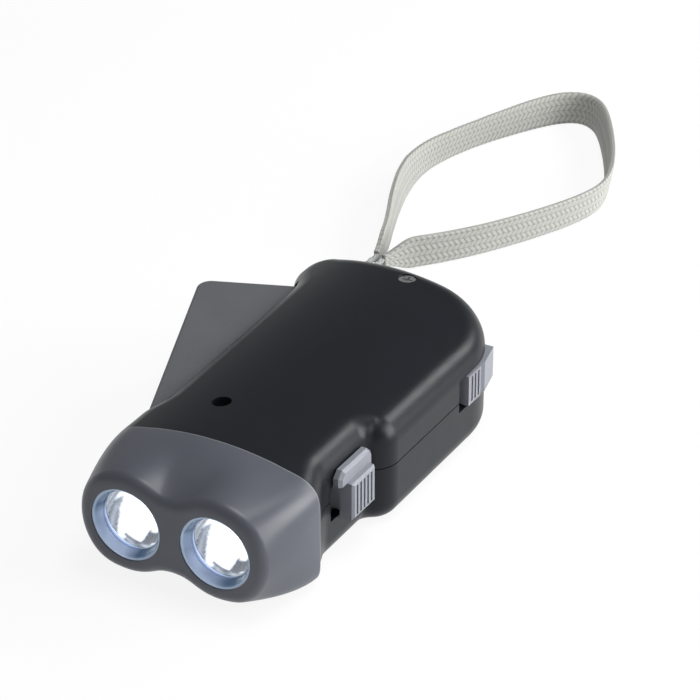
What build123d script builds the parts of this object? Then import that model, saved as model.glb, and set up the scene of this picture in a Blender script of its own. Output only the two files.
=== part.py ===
"""Hand-squeezed dynamo torch with two lamps, a folding squeeze lever and a wrist strap.

Millimetres. +Z is up and the torch lies on its flat underside, z = 0. The beam points
towards -Y, the squeeze lever folds out on -X and the two thumb sliders are on +X.
The origin is the centre of the underside. The lever is drawn folded out, at rest.
"""
import os
from math import acos, atan2, cos, degrees, hypot, pi, radians, sin, sqrt, tan

from build123d import *

os.makedirs("parts", exist_ok=True)

# ------------------------------------------------------------------ casing sizes
body_height = 28.0          # underside to the top of the crown
crown_radius = 73.0         # the top bows across its width
wall = 2.0                  # moulded wall of both casing halves
parting_height = 14.0       # joint between the two casing halves
edge_round = 6.0            # outer rounding along the top edge
floor_round = 4.5           # outer rounding along the bottom edge
seam_y = -34.5              # joint between the casing and the head
seam_half_width = 24.8      # half width where casing and head meet
notch_x = 21.4              # side face behind the front slider
notch_front_y = -27.0
notch_rear_y = -9.8
shoulder_y = -6.8           # where the casing is wide again
right_x = 25.8              # straight side that carries the rear slider
left_x = -29.0              # bulge behind the folded lever
flare_y = -25.5             # the left side draws in behind the head
lever_side_y = -18.5
lever_side_front_x = -22.8  # side that the lever folds against
lever_side_rear_x = -25.3
bulge_lead = 0.7            # the bulge starts ahead of the folded lever's rear edge
bulge_run = 7.5             # length of the slope out to the bulge
bulge_length = 7.7          # from that slope to the rear end
rear_slope = 0.15           # the rear end runs forward towards +X
rear_right_round = 21.5
rear_left_round = 7.5
parting_groove = 0.25       # shadow line round the parting, as deep as it is high

# ------------------------------------------------------------------ head sizes
front_y = -53.0             # front face
lamp_spacing = 21.5         # between the two lamp axes
lamp_height = parting_height
barrel_radius = 11.4        # outer radius round each lamp at the front
valley_radius = 8.4         # hollow between the two barrels
head_wall = 1.8
front_wall = 3.5            # thickness of the front face behind the lenses
front_round = 2.6           # rounded rim of the front face
lens_bore_radius = 8.4
section_points = 48         # points on each section of the head
section_steps = (0.0, 0.3, 0.6, 0.85, 1.0)
section_swell = 1.6         # how late the head draws in towards the lamps

# ------------------------------------------------------------------ lamp sizes
lens_clearance = 0.05
lens_disc = 1.2
lens_recess = 2.4           # front of the disc behind the front face
lens_rim_setback = 0.4      # the rim's front edge behind the front face
lens_rim_front_radius = 7.9
lens_rim_rear_radius = 7.1
lens_flange_radius = 9.3
lens_flange = 1.0
reflector_mouth_radius = 7.4
reflector_depth = 8.6
reflector_wall = 0.8
reflector_bulge = 1.3       # how far the bowl swells out of the cone between its ends
reflector_sag = 0.6
reflector_flange = 1.0
reflector_collar = 1.4      # wall of the collar round the LED
led_radius = 2.5
led_flange_radius = 2.9
led_flange = 1.0
led_length = 8.0
led_lead_radius = 0.3
led_lead_spacing = 2.54
led_lead_stub = 0.8         # leads behind the board

# ------------------------------------------------------------------ lever sizes
lever_pivot = (-18.0, -19.0)
lever_open_angle = 21.6     # folded out by this much at rest
lever_nose_radius = 7.3
lever_length = 58.2         # pivot to the rear edge
lever_inner_width = 17.0    # rear edge, from the pivot line inwards
lever_floor_gap = 5.8       # underside to the lever's lower plate
lever_crown_gap = 5.8       # lever's upper plate to the top of the crown
lever_plate = 1.8
lever_skin = 2.0
lever_rear_wall = 1.6
lever_corner = 3.4
lever_tip_round = 1.0       # inner rear corner
lever_edge_round = 0.8
lever_hub_radius = 3.3
pivot_boss_radius = 3.8
lever_gap = 0.4             # lever to the edges of its slot
spring_radius = 4.2         # middle of the wire
spring_wire_radius = 0.35
spring_leg = 9.5
spring_peg_radius = 1.0
spring_post_radius = 1.2
spring_turns = 3            # whole turns, and the lever's angle at rest on top of them
spring_tip = 1.0            # leg that runs past its peg or post
pivot_pin_radius = 1.5
running_gap = 0.05          # radial clearance of pins in what turns on them
face_gap = 0.3              # axial clearance of what turns or slides

# ------------------------------------------------------------------ gear sizes
sector_module = 0.8
sector_full_teeth = 76      # teeth that a full circle of the sector would have
sector_teeth_before = 2     # teeth before the one that meets the pinion at rest
sector_teeth_after = 7
first_pinion_teeth = 12
wheel_module = 0.5
first_wheel_teeth = 42
second_pinion_teeth = 12
second_wheel_teeth = 40
rotor_pinion_teeth = 12
pressure_angle = 20.0
addendum_share = 0.8        # stub teeth
dedendum_share = 1.1
backlash = 0.14             # taken off each tooth at the pitch circle
mesh_gap = 0.05             # added to each centre distance
pinion_bearing = 63.0       # direction from the lever pivot to the first pinion
sector_thickness = 3.0
wheel_thickness = 2.0
axle_radius = 1.0
hub_radius = 2.0
axle_boss_radius = 2.3
axle_boss_top = 5.0
axle_boss_drop = 5.0        # upper bosses reach down from the top of the crown
axle_seat = 1.6             # depth of each pin in its boss
sector_drop = 2.0           # the sector starts below the lever's middle height
web_foot = 2.0              # the web runs past the pivot
web_drop = 4.0              # the web's outer end below the toothed rim
web_sink = 0.5              # the web runs into the lever's skin
pinion_overhang = 0.3       # each pinion is longer than the wheel that drives it
wheel_lift = 1.2            # first wheel over the sector
rotor_centre = (11.0, 28.0)

# ------------------------------------------------------------------ generator sizes
magnet_radius = 7.5
magnet_bore_radius = 3.2
magnet_gap = 2.5            # to the second wheel below and to the boss above
magnet_seat = 0.8           # flange under the magnet
magnet_lip = 1.2            # how far that flange stands out of the bore
magnet_chamfer = 0.4
air_gap = 0.6
stator_bearing = 115.0      # direction in which the iron core leaves the magnet
stator_thickness = 4.0
stator_arm = 2.6
stator_inner_width = 10.0   # between the two arms
stator_reach = 15.2
coil_radius = 3.4
bobbin_flange_radius = 3.7
bobbin_flange = 0.7
bobbin_wall = 0.5
stator_post_radius = 1.5
stator_post_reach = 7.5     # posts from the rotor axle, along the iron core
stator_root = 2.0           # the iron core starts this far from the rotor axle

# ------------------------------------------------------------------ slider sizes
switch_plate = 1.9
switch_plate_front = -23.8
switch_plate_rear = -10.4
switch_plate_bottom = 8.4
switch_plate_top = 21.0
switch_pad_raise = 1.5
switch_pad_front = -21.2
switch_pad_length = 9.4
switch_pad_z = 13.1         # middle of the ribbed pad
switch_pad_height = 8.8
switch_window_height = 8.2
switch_stem_height = 6.8
switch_undercut = 1.0       # the pad overhangs its stem at the front
switch_travel = 2.0
switch_contact_x = 16.8     # inner end of the switch knob's stem
switch_stem_setback = 1.2   # the stem ends ahead of the pad's rear edge
switch_window_lead = 1.2    # the window starts ahead of the pad at its full travel
switch_corner = 1.5
switch_bevel = 0.7
pad_bevel = 0.5
catch_plate = 0.9           # plates that hold both sliders behind the wall
catch_overlap = 1.5
lock_slot_height = 8.0
lock_centre_z = 15.4
lock_front_y = 27.8
lock_pad_rear_y = 33.6
lock_rear_y = 42.6
lock_pad_x = 26.4
lock_catch_x = 24.8         # outer face of the thumb catch at its rear end
lock_travel = 3.0
lock_inner_x = 19.6
lock_groove_depth = 0.7     # hollow between the pad and the thumb catch
lock_groove_half = 0.9
lock_overlap = 0.6          # catch plate past the slot
lock_plate_length = 9.0
lock_plate_lead = 1.0
lock_arm_bottom = 8.4
lock_arm_height = 2.4
lock_arm_width = 1.6
lock_arm_elbow = 4.0        # the arm turns across the casing over this length
lock_pin_half = 1.2
lock_gap = 0.15             # arm to the folded lever when it is locked
catch_window = (1.3, 4.7)   # across the lever's rear wall, from the pivot line
catch_window_height = 4.4
switch_ribs = 5
lock_ribs = 3
rib_lead = 1.65             # first groove behind the pad's front edge
rib_margin = 0.8            # grooves end short of the pad's edges
rib_pitch = 1.5
rib_groove = 0.7
rib_depth = 0.6

# ------------------------------------------------------------------ electrics
board_thickness = 1.5
main_board_height = 8.0
main_board_centre = (9.3, -21.2)
main_board_width = 17.0
main_board_length = 22.0
ledge_radius = 1.3
ledge_inset = 1.6
lamp_board_gap = 3.0        # in front of the seam
lamp_board_margin = 2.0
lamp_board_inset = 5.2      # from the underside and from the top of the crown
lamp_board_corner = 2.0
switch_box_x = 13.4
switch_box_depth = 4.4
switch_box_length = 13.0
switch_box_height = 7.8
switch_channel = 2.0
battery_centre = (7.2, -22.0)
battery_radius = 5.8
battery_length = 16.2
battery_cells = 3
cell_round = 0.5
contact_thickness = 0.5
contact_width = 5.0
contact_share = 0.8         # contact height as a share of the cell's diameter

# ------------------------------------------------------------------ fasteners
front_screw = (-7.5, -20.1)
rear_screw_x = 0.4
rear_screw_inset = 6.8      # from the rear end
screw_head_radius = 2.0
screw_hole_radius = 2.15
screw_shank_radius = 1.1
screw_boss_radius = 2.7
screw_head_height = 1.2
screw_cross_length = 2.4
screw_cross_width = 0.6
screw_bite = 6.0            # shank in the lower half
screw_head_depth = {"front": 4.5, "rear": 1.6}

# ------------------------------------------------------------------ wrist strap
strap_width = 8.4
strap_thickness = 1.3
strap_lift = 0.2            # lower edge above the table
strap_pin_x = -17.5
strap_pin_inset = 2.7       # from the rear end
strap_pin_radius = 1.1
strap_boss_radius = 2.4
strap_window_width = 7.0
strap_window_bottom = 9.6
strap_window_top = 17.6
strap_cord_radius = 0.7
strap_cord_lead = 4.4       # the cord leaves the window straight for this length

# ------------------------------------------------------------------ places that follow
lever_bottom = lever_floor_gap
lever_top = body_height - lever_crown_gap
lever_height = lever_top - lever_bottom
folded_rear_y = lever_pivot[1] + lever_length
bulge_front_y = folded_rear_y - bulge_lead
bulge_rear_y = bulge_front_y + bulge_run
rear_y = bulge_rear_y + bulge_length
rear_screw = (rear_screw_x, rear_y - rear_screw_inset)
strap_pin_centre = (strap_pin_x, rear_y - strap_pin_inset)
sector_bottom = (lever_bottom + lever_top) / 2 - sector_drop
sector_top = sector_bottom + sector_thickness
top_boss_bottom = body_height - axle_boss_drop
first_wheel_bottom = sector_top + wheel_lift
second_wheel_bottom = lever_bottom + lever_plate
magnet_bottom = second_wheel_bottom + wheel_thickness + magnet_gap
magnet_height = top_boss_bottom - magnet_gap - magnet_bottom


# ================================================================== shared forms
def crown_height(x, drop=0.0):
    """Height of the crowned top over x, lowered by drop."""
    centre = body_height - crown_radius
    return centre + sqrt((crown_radius - drop) ** 2 - x**2)


def facing(y):
    """Plane across the torch at y, seen from the front: local x is X and local y is Z."""
    return Plane.XZ.offset(-y)


def level(z):
    """Plane parallel to the underside at height z."""
    return Plane.XY.offset(z)


def rear_line(x):
    """The rear end of the casing outline over x, before its corners are rounded."""
    return rear_y - rear_slope * x


casing_outline = [
    (seam_half_width, front_y, 0),
    (seam_half_width, seam_y - 1.5, 12.0),
    (notch_x, notch_front_y, 8.0),
    (notch_x, notch_rear_y, 2.5),
    (right_x, shoulder_y, 6.5),
    (right_x, rear_line(right_x), rear_right_round),
    (left_x, rear_line(left_x), rear_left_round),
    (left_x, bulge_rear_y, 6.5),
    (lever_side_rear_x, bulge_front_y, 6.0),
    (lever_side_front_x, lever_side_y, 6.0),
    (-seam_half_width, flare_y, 6.5),
    (-seam_half_width, front_y, 0),
]


def drawn_in(outline, inset):
    """Corners and radii of a rounded outline, run round to the left, moved in by inset."""
    corners = []
    radii = []
    before = outline[-1:] + outline[:-1]
    after = outline[1:] + outline[:1]
    for (ax, ay, _), (bx, by, radius), (cx, cy, _) in zip(before, outline, after):
        run_in = atan2(by - ay, bx - ax)
        turn = (atan2(cy - by, cx - bx) - run_in + pi) % (2 * pi) - pi
        bisector = run_in + turn / 2 + pi / 2
        shift = inset / cos(turn / 2)
        corners.append((bx + shift * cos(bisector), by + shift * sin(bisector)))
        radii.append(max(0, radius - inset) if turn > 0 else radius + inset)
    return corners, radii


def casing_form(inset):
    """The whole casing as one solid, drawn in by inset, rounded and cut at the seam."""
    corners, radii = drawn_in(casing_outline, inset)
    with BuildPart() as form:
        with BuildSketch(level(inset)):
            with BuildLine():
                FilletPolyline(*corners, radius=radii, close=True)
            make_face()
        extrude(amount=body_height)
        with BuildSketch(facing(0)):
            with Locations((0, body_height - crown_radius)):
                Circle(crown_radius - inset)
        extrude(amount=3 * body_height, both=True, mode=Mode.INTERSECT)
        crown = form.faces().filter_by(GeomType.CYLINDER).sort_by(SortBy.AREA)[-1]
        floor = form.faces().sort_by(Axis.Z)[0]
        for face, rounding in ((crown, edge_round - inset), (floor, floor_round - inset)):
            fillet(face.edges().sort_by(Axis.Y)[1:], radius=rounding)
        split(bisect_by=Plane((0, seam_y, 0), z_dir=(0, 1, 0)), keep=Keep.TOP)
    return form.part


def gear_points(teeth, module, phase, first=0, last=None):
    """Outline points of involute teeth about the origin, tooth 0 centred on phase degrees."""
    pitch_radius = module * teeth / 2
    base_radius = pitch_radius * cos(radians(pressure_angle))
    tip_radius = pitch_radius + addendum_share * module
    root_radius = pitch_radius - dedendum_share * module
    pitch_half_angle = (pi * module / 2 - backlash) / (2 * pitch_radius)

    def involute(radius):
        slant = acos(min(1.0, base_radius / radius))
        return tan(slant) - slant

    def half_angle(radius):
        return pitch_half_angle + involute(pitch_radius) - involute(max(radius, base_radius))

    flank = [root_radius, max(base_radius, root_radius + 0.05), pitch_radius, tip_radius]
    points = []
    for tooth in range(first, teeth if last is None else last):
        centre = radians(phase) + 2 * pi * tooth / teeth
        rising = [(radius, centre - half_angle(radius)) for radius in sorted(flank)]
        falling = [(radius, centre + half_angle(radius)) for radius in sorted(flank)[::-1]]
        points += [(r * cos(angle), r * sin(angle)) for r, angle in rising + falling]
    return points


def mesh_phase(driver_teeth, driver_phase, bearing, teeth):
    """Phase of a gear that meshes with its driver, which lies opposite to bearing."""
    offset_in_driver = driver_phase - bearing
    return bearing + 180 + 180 / teeth - offset_in_driver * driver_teeth / teeth


def turned(centre, z, angle):
    """Level plane at height z with its origin over centre, turned by angle degrees."""
    return Plane(
        (centre[0], centre[1], z),
        x_dir=(cos(radians(angle)), sin(radians(angle)), 0),
        z_dir=(0, 0, 1),
    )


# ================================================================== casing halves
slot_bottom = lever_bottom - lever_gap
slot_top = lever_top + lever_gap
slot_front_y = lever_pivot[1] - lever_nose_radius - 2 * lever_gap
lever_sweep = hypot(lever_length, lever_inner_width)
slot_rear_y = lever_pivot[1] + lever_sweep + 2 * lever_gap

first_distance = (
    sector_module * (sector_full_teeth + first_pinion_teeth) / 2 + mesh_gap
)
second_distance = wheel_module * (first_wheel_teeth + second_pinion_teeth) / 2 + mesh_gap
third_distance = wheel_module * (second_wheel_teeth + rotor_pinion_teeth) / 2 + mesh_gap
first_centre = (
    lever_pivot[0] + first_distance * cos(radians(pinion_bearing)),
    lever_pivot[1] + first_distance * sin(radians(pinion_bearing)),
)
span_x = rotor_centre[0] - first_centre[0]
span_y = rotor_centre[1] - first_centre[1]
span = hypot(span_x, span_y)
span_bearing = degrees(atan2(span_y, span_x))
second_turn = degrees(
    acos((second_distance**2 + span**2 - third_distance**2) / (2 * second_distance * span))
)
second_bearing = span_bearing - second_turn
second_centre = (
    first_centre[0] + second_distance * cos(radians(second_bearing)),
    first_centre[1] + second_distance * sin(radians(second_bearing)),
)
third_bearing = degrees(
    atan2(rotor_centre[1] - second_centre[1], rotor_centre[0] - second_centre[0])
)

axle_centres = {
    "first_gear_axle": first_centre,
    "second_gear_axle": second_centre,
    "rotor_axle": rotor_centre,
}

switch_stem_rear = switch_pad_front + switch_pad_length - switch_stem_setback
switch_window_front = switch_pad_front - switch_travel - switch_window_lead
switch_window_rear = switch_stem_rear + face_gap
lock_slot_front = lock_front_y - lock_travel - face_gap
lock_slot_rear = lock_rear_y + face_gap

casing = casing_form(0)
cavity = casing_form(wall)


def cut_side_openings():
    """Openings for the lever, both sliders and the strap, in the casing half in hand."""
    slot_depth_x = lever_pivot[0] + lever_gap
    slot_middle = (slot_bottom + slot_top) / 2
    with Locations((slot_depth_x, (slot_front_y + slot_rear_y) / 2, slot_middle)):
        Box(
            body_height,
            slot_rear_y - slot_front_y,
            slot_top - slot_bottom,
            align=(Align.MAX, Align.CENTER, Align.CENTER),
            mode=Mode.SUBTRACT,
        )
    window_y = (switch_window_front + switch_window_rear) / 2
    with Locations((notch_x - wall, window_y, switch_pad_z)):
        Box(
            3 * wall,
            switch_window_rear - switch_window_front,
            switch_window_height,
            mode=Mode.SUBTRACT,
        )
    with Locations((right_x - wall, (lock_slot_front + lock_slot_rear) / 2, lock_centre_z)):
        Box(7 * wall, lock_slot_rear - lock_slot_front, lock_slot_height, mode=Mode.SUBTRACT)
    window_middle = (strap_window_bottom + strap_window_top) / 2
    with Locations((strap_pin_centre[0], rear_y, window_middle)):
        Box(
            strap_window_width,
            4 * wall,
            strap_window_top - strap_window_bottom,
            mode=Mode.SUBTRACT,
        )


spring_post = (
    lever_pivot[0] + spring_radius - spring_wire_radius - spring_post_radius,
    lever_pivot[1] - spring_leg + spring_tip,
)
spring_post_top = sector_top + sector_thickness


def stator_point(along, across):
    """A point of the iron core, along and across its own direction from the magnet."""
    direction = radians(stator_bearing)
    x = rotor_centre[0] + along * cos(direction) + across * sin(direction)
    y = rotor_centre[1] + along * sin(direction) - across * cos(direction)
    return x, y


arm_middle = stator_inner_width / 2 + stator_arm / 2
stator_bottom = magnet_bottom + (magnet_height - stator_thickness) / 2
stator_top = stator_bottom + stator_thickness
left_post = stator_point(stator_post_reach, -arm_middle)
right_post = stator_point(stator_post_reach, arm_middle)

with BuildPart() as bottom_housing:
    add(casing)
    add(cavity, mode=Mode.SUBTRACT)
    split(bisect_by=level(parting_height), keep=Keep.BOTTOM)
    cut_side_openings()
    # posts for the gear axles, the lever pivot, the strap pin and the iron core
    for x, y in axle_centres.values():
        with Locations((x, y, wall / 2)):
            Cylinder(
                axle_boss_radius,
                axle_boss_top - wall / 2,
                align=(Align.CENTER, Align.CENTER, Align.MIN),
            )
    with Locations((*lever_pivot, wall / 2)):
        Cylinder(
            pivot_boss_radius,
            lever_bottom - face_gap - wall / 2,
            align=(Align.CENTER, Align.CENTER, Align.MIN),
        )
    with Locations((*left_post, wall / 2)):
        Cylinder(
            stator_post_radius,
            stator_bottom - wall / 2,
            align=(Align.CENTER, Align.CENTER, Align.MIN),
        )
    with Locations((*strap_pin_centre, wall / 2)):
        Cylinder(
            strap_boss_radius,
            strap_window_bottom - wall / 2,
            align=(Align.CENTER, Align.CENTER, Align.MIN),
        )
    with Locations((*spring_post, wall / 2)):
        Cylinder(
            spring_post_radius,
            spring_post_top - wall / 2,
            align=(Align.CENTER, Align.CENTER, Align.MIN),
        )
    for x, y in (front_screw, rear_screw):
        with Locations((x, y, wall / 2)):
            Cylinder(
                screw_boss_radius,
                parting_height - wall / 2,
                align=(Align.CENTER, Align.CENTER, Align.MIN),
            )
    # posts under the corners of the main board
    with Locations((*main_board_centre, wall / 2)):
        with GridLocations(
            main_board_width - 2 * (ledge_radius + ledge_inset),
            main_board_length - 2 * (ledge_radius + ledge_inset),
            2,
            2,
        ):
            Cylinder(
                ledge_radius,
                main_board_height - wall / 2,
                align=(Align.CENTER, Align.CENTER, Align.MIN),
            )
    # shadow line below the parting
    with BuildSketch(level(parting_height)):
        Rectangle(4 * seam_half_width, 4 * rear_y)
        groove_corners, groove_radii = drawn_in(casing_outline, parting_groove)
        with BuildLine():
            FilletPolyline(*groove_corners, radius=groove_radii, close=True)
        make_face(mode=Mode.SUBTRACT)
    extrude(amount=-parting_groove, mode=Mode.SUBTRACT)
    # blind holes
    for x, y in axle_centres.values():
        with Locations((x, y, axle_boss_top)):
            Cylinder(
                axle_radius,
                axle_seat,
                align=(Align.CENTER, Align.CENTER, Align.MAX),
                mode=Mode.SUBTRACT,
            )
    with Locations((*lever_pivot, lever_bottom - face_gap)):
        Cylinder(
            pivot_pin_radius,
            2 * axle_seat,
            align=(Align.CENTER, Align.CENTER, Align.MAX),
            mode=Mode.SUBTRACT,
        )
    with Locations((*strap_pin_centre, strap_window_bottom)):
        Cylinder(
            strap_pin_radius,
            2 * axle_seat,
            align=(Align.CENTER, Align.CENTER, Align.MAX),
            mode=Mode.SUBTRACT,
        )
    for x, y in (front_screw, rear_screw):
        with Locations((x, y, parting_height)):
            Cylinder(
                screw_shank_radius,
                screw_bite,
                align=(Align.CENTER, Align.CENTER, Align.MAX),
                mode=Mode.SUBTRACT,
            )
bottom_housing.part.label = "bottom_housing"
export_step(bottom_housing.part, "parts/bottom_housing.step")


def hang_boss(centre, radius, bottom):
    """A boss from the inside of the crowned top down to bottom."""
    x, y = centre
    with Locations((x, y, bottom)):
        Cylinder(
            radius,
            crown_height(abs(x) + radius, wall / 2) - bottom,
            align=(Align.CENTER, Align.CENTER, Align.MIN),
        )


with BuildPart() as top_housing:
    add(casing)
    add(cavity, mode=Mode.SUBTRACT)
    split(bisect_by=level(parting_height), keep=Keep.TOP)
    cut_side_openings()
    for centre in axle_centres.values():
        hang_boss(centre, axle_boss_radius, top_boss_bottom)
    hang_boss(lever_pivot, pivot_boss_radius, lever_top + face_gap)
    hang_boss(left_post, stator_post_radius, stator_top)
    hang_boss(right_post, stator_post_radius, stator_top)
    hang_boss(strap_pin_centre, strap_boss_radius, strap_window_top)
    hang_boss(front_screw, screw_boss_radius, parting_height)
    hang_boss(rear_screw, screw_boss_radius, parting_height)
    # blind holes for the pins
    for x, y in axle_centres.values():
        with Locations((x, y, top_boss_bottom)):
            Cylinder(
                axle_radius,
                axle_seat,
                align=(Align.CENTER, Align.CENTER, Align.MIN),
                mode=Mode.SUBTRACT,
            )
    with Locations((*lever_pivot, lever_top + face_gap)):
        Cylinder(
            pivot_pin_radius,
            axle_seat,
            align=(Align.CENTER, Align.CENTER, Align.MIN),
            mode=Mode.SUBTRACT,
        )
    with Locations((*strap_pin_centre, strap_window_top)):
        Cylinder(
            strap_pin_radius,
            2 * axle_seat,
            align=(Align.CENTER, Align.CENTER, Align.MIN),
            mode=Mode.SUBTRACT,
        )
    # screw holes, counterbored from the top
    for (x, y), key in ((front_screw, "front"), (rear_screw, "rear")):
        with Locations((x, y, body_height)):
            Cylinder(
                screw_hole_radius,
                body_height - crown_height(x) + screw_head_depth[key],
                align=(Align.CENTER, Align.CENTER, Align.MAX),
                mode=Mode.SUBTRACT,
            )
        with Locations((x, y, parting_height)):
            Cylinder(
                screw_shank_radius,
                body_height,
                align=(Align.CENTER, Align.CENTER, Align.MIN),
                mode=Mode.SUBTRACT,
            )
top_housing.part.label = "top_housing"
export_step(top_housing.part, "parts/top_housing.step")

with BuildPart() as housing_screws:
    for (x, y), key in ((front_screw, "front"), (rear_screw, "rear")):
        seat = crown_height(x) - screw_head_depth[key]
        with Locations((x, y, seat)):
            Cylinder(
                screw_head_radius,
                screw_head_height,
                align=(Align.CENTER, Align.CENTER, Align.MIN),
            )
            Cylinder(
                screw_shank_radius,
                seat - parting_height + screw_bite,
                align=(Align.CENTER, Align.CENTER, Align.MAX),
            )
        with Locations((x, y, seat + screw_head_height)):
            for turn in (0, 90):
                Box(
                    screw_cross_length,
                    screw_cross_width,
                    screw_head_height,
                    rotation=(0, 0, turn),
                    mode=Mode.SUBTRACT,
                )
housing_screws.part.label = "housing_screws"
export_step(housing_screws.part, "parts/housing_screws.step")


# ================================================================== head shell
def reach(inside, angle):
    """Distance from the lamp centre line to the edge of a form, in direction angle."""
    near, far = 0.0, 2 * seam_half_width
    for _ in range(40):
        middle = (near + far) / 2
        if inside(middle * cos(angle), lamp_height + middle * sin(angle)):
            near = middle
        else:
            far = middle
    return near


def seam_inside(inset):
    """Whether a point lies inside the casing's section at the seam, drawn in by inset."""
    half = seam_half_width - inset
    top_round = edge_round - inset
    low_round = floor_round - inset
    crown_centre = body_height - crown_radius
    crown_reach = crown_radius - inset
    top_corner = crown_centre + sqrt((crown_reach - top_round) ** 2 - (half - top_round) ** 2)
    low_corner = inset + low_round

    def inside(x, z):
        if abs(x) > half - top_round and z > top_corner:
            return hypot(abs(x) - half + top_round, z - top_corner) <= top_round
        if abs(x) > half - low_round and z < low_corner:
            return hypot(abs(x) - half + low_round, z - low_corner) <= low_round
        return abs(x) <= half and z >= inset and hypot(x, z - crown_centre) <= crown_reach

    return inside


def barrels_inside(inset):
    """Whether a point lies inside the two joined barrels at the front."""
    radius = barrel_radius - inset
    valley = valley_radius + inset
    valley_centre = sqrt((radius + valley) ** 2 - (lamp_spacing / 2) ** 2)
    neck_x = valley * (lamp_spacing / 2) / (radius + valley)

    def inside(x, z):
        height = abs(z - lamp_height)
        if hypot(abs(x) - lamp_spacing / 2, height) <= radius:
            return True
        return abs(x) < neck_x and hypot(x, valley_centre - height) >= valley and (
            height < valley_centre
        )

    return inside


def head_form(inset, end_y):
    """Smooth solid from the casing's section at the seam to the two barrels at end_y."""
    with BuildPart() as form:
        for share in section_steps:
            draw_in = share**section_swell
            with BuildSketch(facing(seam_y + (end_y - seam_y) * share)):
                with BuildLine():
                    points = []
                    for step in range(section_points):
                        angle = 2 * pi * (step + 0.5) / section_points
                        seam_reach = reach(seam_inside(inset), angle)
                        front_reach = reach(barrels_inside(inset), angle)
                        radius = seam_reach + (front_reach - seam_reach) * draw_in
                        points.append((radius * cos(angle), lamp_height + radius * sin(angle)))
                    Spline(*points, periodic=True)
                make_face()
        loft()
        # the underside is flat, in line with the casing's
        split(bisect_by=level(inset), keep=Keep.TOP)
    return form.part


lamp_centres = [(-lamp_spacing / 2, lamp_height), (lamp_spacing / 2, lamp_height)]
lens_back_y = front_y + lens_recess + lens_disc
reflector_front_y = front_y + front_wall + lens_flange
board_front_y = seam_y - lamp_board_gap

with BuildPart() as head_shell:
    add(head_form(0, front_y))
    rim = head_shell.faces().sort_by(Axis.Y)[0].outer_wire().edges()
    fillet(rim, radius=front_round)
    add(head_form(head_wall, front_y + front_wall), mode=Mode.SUBTRACT)
    with BuildSketch(facing(front_y)):
        with Locations(*lamp_centres):
            Circle(lens_bore_radius)
    extrude(amount=-2 * front_wall, mode=Mode.SUBTRACT)
head_shell.part.label = "head_shell"
export_step(head_shell.part, "parts/head_shell.step")

# ================================================================== lamps
for side, (lamp_x, _) in zip(("left", "right"), lamp_centres):
    lamp_axis = Plane((lamp_x, 0, lamp_height), x_dir=(1, 0, 0), z_dir=(0, 0, 1))
    spin_axis = Axis((lamp_x, 0, lamp_height), (0, 1, 0))
    flange_y = front_y + front_wall

    with BuildPart() as lens:
        with BuildSketch(lamp_axis):
            with BuildLine():
                Polyline(
                    (0, lens_back_y - lens_disc),
                    (lens_rim_rear_radius, lens_back_y - lens_disc),
                    (lens_rim_front_radius, front_y + lens_rim_setback),
                    (lens_bore_radius - lens_clearance, front_y + lens_rim_setback),
                    (lens_bore_radius - lens_clearance, flange_y),
                    (lens_flange_radius, flange_y),
                    (lens_flange_radius, flange_y + lens_flange),
                    (reflector_mouth_radius, flange_y + lens_flange),
                    (reflector_mouth_radius, lens_back_y),
                    (0, lens_back_y),
                    close=True,
                )
            make_face()
        revolve(axis=spin_axis)
    lens.part.label = f"{side}_lens"
    export_step(lens.part, f"parts/{side}_lens.step")

    with BuildPart() as reflector:
        bowl_y = reflector_front_y + reflector_depth
        flange_back_y = reflector_front_y + reflector_flange
        throat_radius = led_radius + lens_clearance
        collar_radius = led_radius + reflector_collar
        middle_radius = (reflector_mouth_radius + led_radius) / 2 + reflector_bulge
        middle_y = (reflector_front_y + bowl_y) / 2 + reflector_sag
        with BuildSketch(lamp_axis):
            with BuildLine():
                ThreePointArc(
                    (reflector_mouth_radius, reflector_front_y),
                    (middle_radius, middle_y),
                    (throat_radius, bowl_y),
                )
                Polyline(
                    (throat_radius, bowl_y),
                    (throat_radius, board_front_y - led_flange),
                    (collar_radius, board_front_y - led_flange),
                    (collar_radius, bowl_y + reflector_wall),
                )
                ThreePointArc(
                    (collar_radius, bowl_y + reflector_wall),
                    (middle_radius + reflector_wall, middle_y + reflector_wall),
                    (reflector_mouth_radius + reflector_wall, flange_back_y),
                )
                Polyline(
                    (reflector_mouth_radius + reflector_wall, flange_back_y),
                    (lens_flange_radius, flange_back_y),
                    (lens_flange_radius, reflector_front_y),
                    (reflector_mouth_radius, reflector_front_y),
                )
            make_face()
        revolve(axis=spin_axis)
    reflector.part.label = f"{side}_reflector"
    export_step(reflector.part, f"parts/{side}_reflector.step")

    with BuildPart() as led:
        dome_y = board_front_y - led_length + led_radius
        with BuildSketch(lamp_axis):
            with BuildLine():
                Polyline(
                    (0, dome_y - led_radius),
                    (0, board_front_y),
                    (led_flange_radius, board_front_y),
                    (led_flange_radius, board_front_y - led_flange),
                    (led_radius, board_front_y - led_flange),
                    (led_radius, dome_y),
                )
                CenterArc((0, dome_y), led_radius, 270, 90)
            make_face()
        revolve(axis=spin_axis)
        with BuildSketch(facing(board_front_y)):
            with Locations((lamp_x, lamp_height)):
                with GridLocations(led_lead_spacing, 1, 2, 1):
                    Circle(led_lead_radius)
        extrude(amount=-board_thickness - led_lead_stub)
    led.part.label = f"{side}_led"
    export_step(led.part, f"parts/{side}_led.step")

with BuildPart() as lamp_board:
    with BuildSketch(facing(board_front_y)):
        with Locations((0, body_height / 2)):
            RectangleRounded(
                2 * (seam_half_width - head_wall - lamp_board_margin),
                body_height - 2 * lamp_board_inset,
                lamp_board_corner,
            )
        with Locations(*lamp_centres):
            with GridLocations(led_lead_spacing, 1, 2, 1):
                Circle(led_lead_radius, mode=Mode.SUBTRACT)
    extrude(amount=-board_thickness)
lamp_board.part.label = "lamp_board"
export_step(lamp_board.part, "parts/lamp_board.step")

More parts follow.
